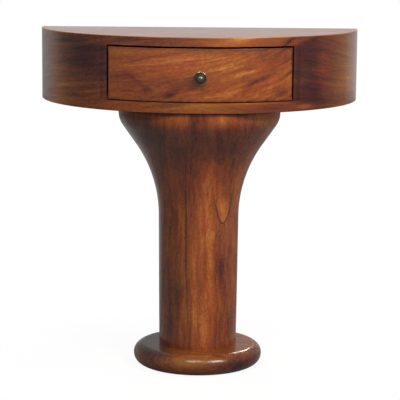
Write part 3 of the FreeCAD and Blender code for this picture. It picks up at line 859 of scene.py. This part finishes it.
def partition_wood():
    """Partitions: plain stained wood, its grain front to back, and the case's figure on the front edge."""
    material, bench = new_material("partition_lacquer")
    along, up, out = bow_place(bench)
    rim = case_figure(bench, along, up, out)[0]
    x, y, z = bench.place()
    face = wood_figure(bench, PARTITION_STAIN, y, z, x)
    lacquered_wood(bench, edged(out, face, marked(rim, -PARTITION_DARK)), y, z, x)
    return material


def back_wood():
    """Back panel: plain stained wood, its grain along the width."""
    material, bench = new_material("back_lacquer")
    x, y, z = bench.place()
    lacquered_wood(bench, wood_figure(bench, BACK_STAIN, x, z, y), x, z, y)
    return material


def tongue(x, y, z, wander):
    """Tone of a tongue of growth lines in the column's right board: a dark outline round a pale core.

    The outline is the parabola (x - tip)^2 = spread (z - tip), a growth ring cut at a slant, drawn where
    the distance to it, (off^2 / spread - height) / sqrt(1 + (2 off / spread)^2), is small.
    """
    height = z - TONGUE_TIP[0]
    off = x - TONGUE_TIP[1] + wander * TONGUE_WANDER
    lean = off * (2.0 / TONGUE_SPREAD)
    ring = (off * off / TONGUE_SPREAD - height) / (lean * lean + 1.0) ** 0.5
    outline = ((ring / TONGUE_LINE) ** 2.0 * -1.0).apply("EXPONENT") * height.step(*TONGUE_TOP)
    core = ring.step(*TONGUE_CORE) * height.step(*CORE_TOP)
    return (core * CORE_PALE - outline * TONGUE_DARK) * y.step(*TONGUE_SIDE)


def column_wood():
    """Column: upright boards glued side by side and turned, with a tongue of growth lines on the right."""
    material, bench = new_material("column_lacquer")
    x, y, z = bench.place()
    wander = bench.noise(z * WANDER.along, *WANDER_SEED, detail=WANDER.detail) * WANDER.tone
    lane = (x + wander + STAVE_EDGE) / STAVE
    board = lane.floor()
    line = (lane.fraction() - 0.5).size().rise(STAVE_LINE)
    shift = bench.noise(board * STAVE_STEP, *STAVE_SEED, detail=0.0)
    middle = (1.0 - (board * board).apply("MINIMUM", 1.0)) * z.rise(MIDDLE_STAVE)
    figure = wood_figure(bench, COLUMN_STAIN, (z + shift * STAVE_SHIFT) * COLUMN_SHORT, x + shift,
                         y * COLUMN_DEEP, contrast=COLUMN_CONTRAST + z.rise(CALM_FLARE))
    cloud = bench.noise(z * CLOUD.along, x * CLOUD.across, y * CLOUD_DEEP, detail=CLOUD.detail)
    flare = z.between(*FLARE_SHADE) * FLARE_DARK
    tone, hue = all_spots(z, x + wander * MARK_WANDER, COLUMN_MARKS)
    tone = (tone + shift * STAVE_TONE + middle + line + cloud * CLOUD.tone - flare
            + tongue(x, y, z, wander) + z.rise(HEAD_PALE) + z.rise(CASE_SHADOW))
    lacquered_wood(bench, marked(figure, tone, hue), z, x, y)
    return material


def base_wood():
    """Base: boards that run across the front, turned to a bullnose that cuts long ovals in their rings."""
    material, bench = new_material("base_lacquer")
    x, y, z = bench.place()
    off_y = y - PITH[0]
    off_z = z - PITH[1]
    across = (off_y * off_y + off_z * off_z) ** 0.5
    figure = wood_figure(bench, BASE_STAIN, x, across, y, ring=BASE_RING)
    tone, hue = all_spots(x, z, BASE_MARKS)
    lacquered_wood(bench, marked(figure, tone, hue), x, across, y, BASE_SATIN)
    return material


def bare_wood(name, axis, seed):
    """Unstained, sealed wood of the drawer box and its guides; axis is the direction of the grain."""
    finish = settings().finish
    material, bench = new_material(name)
    places = bench.place()
    along = places[axis]
    across = places[(axis + 2) % 3]
    depth = places[(axis + 1) % 3]
    stain = Stain(seed, BARE_LEVEL, BARE_STRENGTH)
    figure = wood_figure(bench, stain, along, across, depth, ring=BARE_RING)
    colour = bench.ramp(figure.tone, [(0.0, finish.bare_dark), (1.0, finish.bare)])
    surface(bench, Base_Color=colour, Roughness=figure.fibre * BARE_VARIES + BARE_ROUGH,
            Normal=bench.bump(figure.fibre, BARE_RELIEF))
    return material


# Metal

PATCH = Grain(260.0, 260.0, 1.0, 3.0, 0.65)  # patches of the brass, a metre
PIT = Grain(1500.0, 1500.0, 0.06)  # its pits, and how far they move the roughness
PIT_RELIEF = 0.00004  # metres; depth of a pit
RUBBED = (0.0, 0.7)  # patches that hands have rubbed bright
RUBBED_RIM = Rise(-0.3, 0.3, 0.9)  # more of them on the backplate's rim
RIM_START = (plate_high.x - 0.0030, plate_high.x - 0.0021)  # metres from its middle
RUBBED_SHINE = 0.08  # how much less rough they are
BRASS_ROUGH = 0.30
ZINC_MOTTLE = Grain(400.0, 400.0, 0.1, 3.0)  # its spots, and how far they move the roughness
ZINC_SHADE = 0.7  # share of the colour in its darkest spots
ZINC_ROUGH = 0.35


def aged_brass():
    """Dark patina over brass, rubbed bright in small patches, with fine pits."""
    finish = settings().finish
    material, bench = new_material("aged_brass")
    x, y, z = bench.place()
    patch = layer(bench, PATCH, x, y, z)
    pit = layer(bench, PIT, x, y, z)
    across = z - KNOB_HEIGHT
    rim = ((x * x + across * across) ** 0.5).step(*RIM_START)
    rubbed = patch.step(*RUBBED) + rim * patch.rise(RUBBED_RIM)
    colour = bench.ramp(rubbed, [(0.0, finish.bronze), (1.0, finish.brass)])
    surface(bench, Base_Color=colour, Metallic=1.0,
            Roughness=BRASS_ROUGH - rubbed * RUBBED_SHINE + pit * PIT.tone,
            Normal=bench.bump(pit + patch, PIT_RELIEF))
    return material


def zinc_steel():
    """Zinc plate with a faint mottle."""
    zinc = settings().finish.zinc
    material, bench = new_material("zinc_steel")
    mottle = layer(bench, ZINC_MOTTLE, *bench.place())
    dark = [part * ZINC_SHADE for part in zinc]
    colour = bench.ramp(mottle * 0.5 + 0.5, [(0.0, dark), (1.0, zinc)])
    surface(bench, Base_Color=colour, Metallic=1.0, Roughness=mottle * ZINC_MOTTLE.tone + ZINC_ROUGH)
    return material


def dress(material, *nodes):
    """Gives CAD nodes a finish."""
    for name in nodes:
        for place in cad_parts[name].material_slots:
            place.material = material


# Operators


class CONSOLE_OT_boards(bpy.types.Operator):
    """Half-round top board with a worn upper edge, and the finish of the bottom board"""

    bl_idname = "console.boards"
    bl_label = "Boards"

    def execute(self, context):
        case = settings().case
        material = board_wood()
        profile = board_profile(MOON_RADIUS / 2, top_low.z, top_high.z, case.seam, case.edge)
        add_piece("half_round_top", half_round_rings(profile), material, TABLE, "case_wood", "top_board")
        dress(material, "bottom_board")
        return {"FINISHED"}


class CONSOLE_OT_walls(bpy.types.Operator):
    """Curved walls either side of the drawer, and the finish of the partitions and the back"""

    bl_idname = "console.walls"
    bl_label = "Walls"

    def execute(self, context):
        case = settings().case
        material = wall_wood()
        tall = wall_high.z - wall_low.z
        inner = MOON_RADIUS - case.board
        profile = board_profile(tall / 2, inner, MOON_RADIUS, case.seam, case.seam)

        def right_ends(radius):
            return np.arcsin(wall_low.x / radius), np.full_like(radius, HALF_TURN / 2)

        def left_ends(radius):
            start, end = right_ends(radius)
            return -end, -start

        for side, ends in (("left", left_ends), ("right", right_ends)):
            rings = bowed_rings(profile, ends, wall_low.z, wall_high.z)
            add_piece(f"{side}_curved_wall", rings, material, TABLE, "case_wood", f"{side}_side_wall")
        dress(partition_wood(), "left_partition", "right_partition")
        dress(back_wood(), "back_panel")
        return {"FINISHED"}


class CONSOLE_OT_drawer_front(bpy.types.Operator):
    """Bowed drawer front with softened edges"""

    bl_idname = "console.drawer_front"
    bl_label = "Drawer front"

    def execute(self, context):
        case = settings().case
        tall = drawer_high.z - drawer_low.z
        inner = MOON_RADIUS - case.board
        profile = board_profile(tall / 2, inner, MOON_RADIUS, case.seam, case.front_edge)

        def ends(radius):
            end = np.arcsin((drawer_high.x - TAIL_PROUD) / radius)
            return -end, end

        rings = bowed_rings(profile, ends, drawer_low.z, drawer_high.z)
        material = drawer_wood()
        add_piece("bowed_drawer_front", rings, material, DRAWER, "drawer_front_wood", "drawer_front")
        return {"FINISHED"}


class CONSOLE_OT_pedestal(bpy.types.Operator):
    """Turned column with its flared head, and the finish of the base"""

    bl_idname = "console.pedestal"
    bl_label = "Pedestal"

    def execute(self, context):
        sizes = settings().pedestal
        rings = turned_rings(column_profile(sizes), sizes.steps)
        add_piece("turned_column", rings, column_wood(), TABLE, "pedestal_wood", "pedestal_column")
        dress(base_wood(), "pedestal_base")
        return {"FINISHED"}


class CONSOLE_OT_knob(bpy.types.Operator):
    """Ball knob and its backplate in aged brass"""

    bl_idname = "console.knob"
    bl_label = "Knob"

    def execute(self, context):
        sizes = settings().knob
        material = aged_brass()
        steps = settings().pedestal.steps // 2
        knob = facing_out(turned_rings(knob_profile(sizes), steps))
        add_piece("ball_knob", knob, material, DRAWER, "antique_brass", "drawer_knob")
        plate = facing_out(turned_rings(plate_profile(sizes), steps))
        add_piece("knob_backplate", plate, material, DRAWER, "antique_brass", "knob_rosette")
        return {"FINISHED"}


class CONSOLE_OT_inside(bpy.types.Operator):
    """Finish of the drawer box, the guides and the fasteners"""

    bl_idname = "console.inside"
    bl_label = "Inside"

    def execute(self, context):
        dress(bare_wood("drawer_side_wood", ALONG_Y, seed=2.2), "drawer_left_side", "drawer_right_side")
        dress(bare_wood("drawer_back_wood", ALONG_X, seed=6.1), "drawer_back")
        dress(bare_wood("drawer_panel_wood", ALONG_X, seed=8.3), "drawer_bottom")
        dress(bare_wood("guide_wood", ALONG_Y, seed=0.7), "left_runner", "right_runner",
              "left_kicker", "right_kicker")
        dress(bare_wood("stop_wood", ALONG_X, seed=3.9), "drawer_stops")
        dress(bare_wood("dowel_wood", ALONG_Z, seed=5.5), "top_dowels", "bottom_dowels")
        dress(zinc_steel(), "runner_screws", "kicker_screws", "pedestal_screws", "base_coach_screws",
              "base_washers", "knob_screw", "knob_washer")
        return {"FINISHED"}


# Stage

CAMERA_PLACE = (-0.023371, -3.778623, 0.998156)
CAMERA_PITCH = math.radians(9.317)  # downwards
CAMERA_YAW = math.radians(0.399)
CAMERA_ROLL = math.radians(-0.505)
SENSOR_WIDTH = 36.0
FOCAL_PIXELS = 1678.431
FRAME_PIXELS = 400
WHITE = (1.0, 1.0, 1.0, 1.0)

# Lamps: place and beam in degrees, metres and watts
LAMP_MIDDLE = Vector((0.0, 0.0, 0.45))  # middle of the sphere that they are on
BASE_AIM = Vector((0.0, 0.0, 0.02))
Lamp = namedtuple("Lamp", "name azimuth elevation distance width height watts mirrored aim spread",
                  defaults=(True, LAMP_MIDDLE, 180.0))
LAMP_COLOUR = (1.0, 0.98, 0.95)
LAMPS = (
    Lamp("front_box", -8.0, 46.0, 3.2, 1.3, 0.9, 34.0),
    Lamp("right_box", 40.0, 37.0, 3.2, 1.1, 0.9, 62.0),
    Lamp("rear_box", 162.0, 25.0, 2.6, 0.4, 0.4, 0.15, aim=BASE_AIM, spread=20.0),
    Lamp("left_box", -145.0, 38.0, 3.0, 0.9, 0.9, 17.0, mirrored=False),
    Lamp("side_box", 84.0, 5.0, 2.6, 0.9, 0.9, 17.0, mirrored=False),
)

# Room: brightness, and parts of it by their direction, from -1 to 1 across, back and up
ROOM_LIGHT = 0.28  # even light from all round
ROOM_MIRROR = 0.30  # brightness of the room in reflections
ROOM_FRONT = 0.31  # how much brighter in front of the object
ROOM_BACK = 0.41  # how much brighter low behind it
ROOM_LEFT = 0.23  # how much brighter in a pale panel behind it on the left
ROOM_RIGHT = 0.30  # and in a wider one on the right
ROOM_OVER = 0.25  # how much brighter overhead
LEFT_PANEL = ((-0.92, -0.74), (-0.15, -0.65))  # where a panel starts and where it ends
RIGHT_PANEL = ((0.15, 0.40), (0.76, 0.68))
PANEL_BACK = (0.0, 0.3)
PANEL_LOW = (0.30, 0.0)
STRAIGHT_BACK = (0.95, 0.99)

# Floor: brightness, and parts of it in metres from the pedestal
FLOOR_COLOUR = 0.97
FLOOR_WHITE = 0.92  # share of plain white in the floor beside the object
FLOOR_BOUNCE = 0.22
FLOOR_MIRROR = 0.37  # brightness of the floor in reflections
FLOOR_LEFT = 0.25  # how much brighter behind the object on the left
FLOOR_RIGHT = 0.09  # how much darker close by on the right
FLOOR_REACH = 6.0  # metres
FLOOR_RINGS = 7
FLOOR_STEPS = 64
SHADOW_REACH = (0.20, 0.60)  # where the object's shadow fades to white
LEFT_SIDE = (-0.20, -0.50)
LEFT_SLANT = (0.65, 1.05)  # metres back for each metre to the left
RIGHT_SIDE = (0.15, 0.45)
CLOSE_BY = (2.0, 1.2)


def camera_turn():
    """Axes of a camera that looks along +Y, yawed, pitched down and rolled."""
    level = math.cos(CAMERA_PITCH)
    ahead = Vector((math.sin(CAMERA_YAW) * level, math.cos(CAMERA_YAW) * level, -math.sin(CAMERA_PITCH)))
    right = Vector((math.cos(CAMERA_YAW), -math.sin(CAMERA_YAW), 0.0))
    down = ahead.cross(right)
    right_rolled = math.cos(CAMERA_ROLL) * right + math.sin(CAMERA_ROLL) * down
    down_rolled = math.cos(CAMERA_ROLL) * down - math.sin(CAMERA_ROLL) * right
    return Matrix((right_rolled, -down_rolled, -ahead)).transposed().to_4x4()


def add_camera():
    data = bpy.data.cameras.new("camera")
    data.sensor_width = SENSOR_WIDTH
    data.lens = FOCAL_PIXELS / FRAME_PIXELS * SENSOR_WIDTH
    camera = bpy.data.objects.new("camera", data)
    bpy.context.scene.collection.objects.link(camera)
    camera.matrix_world = Matrix.Translation(CAMERA_PLACE) @ camera_turn()
    bpy.context.scene.camera = camera


def add_lamp(lamp):
    """Soft lamp on a sphere round the object's middle; azimuth 0 is in front and 90 degrees to the right.

    A lamp that isn't mirrored lights the object but doesn't show in its gloss.
    """
    azimuth = math.radians(lamp.azimuth)
    elevation = math.radians(lamp.elevation)
    level = math.cos(elevation)
    away = Vector((level * math.sin(azimuth), -level * math.cos(azimuth), math.sin(elevation)))
    data = bpy.data.lights.new(lamp.name, "AREA")
    data.shape = "RECTANGLE"
    data.size = lamp.width
    data.size_y = lamp.height
    data.energy = lamp.watts
    data.spread = math.radians(lamp.spread)
    data.color = LAMP_COLOUR
    box = bpy.data.objects.new(lamp.name, data)
    bpy.context.scene.collection.objects.link(box)
    box.visible_glossy = lamp.mirrored
    box.location = LAMP_MIDDLE + away * lamp.distance
    box.rotation_mode = "QUATERNION"
    box.rotation_quaternion = (lamp.aim - box.location).to_track_quat("-Z", "Y")


def ray_kinds(bench):
    """1 for rays from the camera, and 1 for rays off gloss or through glass."""
    path = bench.node("ShaderNodeLightPath").outputs
    mirror = bench.math("MAXIMUM", path["Is Glossy Ray"], path["Is Transmission Ray"])
    return Field(bench, path["Is Camera Ray"]), mirror


def paint_world():
    """White to the camera, a pale room in reflections and a soft even light elsewhere.

    In reflections the room is paler in front, overhead and in three panels low behind the object.
    """
    world = bpy.data.worlds.new("studio")
    world.use_nodes = True
    bpy.context.scene.world = world
    bench = Bench(world.node_tree)
    camera, mirror = ray_kinds(bench)
    x, y, z = bench.place("Generated")
    ahead = (y * -1.0).apply("MAXIMUM", 0.0) * ROOM_FRONT
    left = x.between(*LEFT_PANEL) * ROOM_LEFT
    right = x.between(*RIGHT_PANEL) * ROOM_RIGHT
    middle = y.step(*STRAIGHT_BACK) * ROOM_BACK
    behind = y.step(*PANEL_BACK) * z.step(*PANEL_LOW) * (left + right + middle)
    over = z.apply("MAXIMUM", 0.0) * ROOM_OVER
    pale = ROOM_MIRROR + ahead + behind + over
    strength = camera + (1.0 - camera) * (mirror * pale + (1.0 - mirror) * ROOM_LIGHT)
    room = bench.node("ShaderNodeBackground", Color=WHITE, Strength=strength)
    bench.node("ShaderNodeOutputWorld", Surface=room.outputs["Background"])


def floor_finish():
    """Pale floor: white to the camera but for the object's shadow, and grey to the light it throws back."""
    material, bench = new_material("pale_floor")
    x, y = bench.place()[:2]
    camera, mirror = ray_kinds(bench)
    out = (x * x + y * y) ** 0.5
    shown = camera * (out.step(*SHADOW_REACH) * (1.0 - FLOOR_WHITE) + FLOOR_WHITE)
    slant = y / x * -1.0
    left = x.step(*LEFT_SIDE) * slant.step(*LEFT_SLANT) * FLOOR_LEFT
    right = x.step(*RIGHT_SIDE) * out.step(*CLOSE_BY) * FLOOR_RIGHT
    mirrored = FLOOR_MIRROR + left - right
    grey = FLOOR_BOUNCE + mirror * (mirrored - FLOOR_BOUNCE) + camera * (FLOOR_COLOUR - FLOOR_BOUNCE)
    matt = bench.node("ShaderNodeBsdfDiffuse", Color=grey)
    white = bench.node("ShaderNodeEmission", Color=WHITE, Strength=1.0)
    both = bench.node("ShaderNodeMixShader", Fac=shown)
    bench.tree.links.new(matt.outputs["BSDF"], both.inputs[1])
    bench.tree.links.new(white.outputs["Emission"], both.inputs[2])
    bench.node("ShaderNodeOutputMaterial", Surface=both.outputs["Shader"])
    return material


def add_floor():
    """Flat disc that faces up: rings of equal steps round the pedestal's axis."""
    reach = np.linspace(0.0, FLOOR_REACH, FLOOR_RINGS)
    rings = turned_rings(np.stack([reach, np.zeros_like(reach)], axis=-1), FLOOR_STEPS)
    mesh = ring_mesh("floor", rings[:, ::-1])
    mesh.materials.append(floor_finish())
    floor = bpy.data.objects.new("floor", mesh)
    bpy.context.scene.collection.objects.link(floor)


class CONSOLE_OT_stage(bpy.types.Operator):
    """Pale floor, soft studio light and the camera"""

    bl_idname = "console.stage"
    bl_label = "Stage"

    def execute(self, context):
        context.scene.view_settings.view_transform = "Standard"
        add_camera()
        paint_world()
        add_floor()
        for lamp in LAMPS:
            add_lamp(lamp)
        return {"FINISHED"}


class CONSOLE_PT_panel(bpy.types.Panel):
    """Pieces of the half-round console"""

    bl_idname = "CONSOLE_PT_panel"
    bl_label = "Half-round console"
    bl_space_type = "VIEW_3D"
    bl_region_type = "UI"
    bl_category = "Console"

    def draw(self, context):
        column = self.layout.column()
        for piece in PIECES:
            column.operator(piece.bl_idname)


GROUPS = (CaseSizes, PedestalSizes, KnobSizes, Finishes, ConsoleSettings)
PIECES = (CONSOLE_OT_boards, CONSOLE_OT_walls, CONSOLE_OT_drawer_front, CONSOLE_OT_pedestal,
          CONSOLE_OT_knob, CONSOLE_OT_inside, CONSOLE_OT_stage)
CLASSES = (*GROUPS, *PIECES, CONSOLE_PT_panel)


def register():
    for kind in CLASSES:
        bpy.utils.register_class(kind)
    bpy.types.Scene.half_round_console = PointerProperty(type=ConsoleSettings)


def unregister():
    del bpy.types.Scene.half_round_console
    for kind in reversed(CLASSES):
        bpy.utils.unregister_class(kind)


def main():
    register()
    bpy.ops.console.boards()
    bpy.ops.console.walls()
    bpy.ops.console.drawer_front()
    bpy.ops.console.pedestal()
    bpy.ops.console.knob()
    bpy.ops.console.inside()
    bpy.ops.console.stage()


if __name__ == "__main__":
    main()
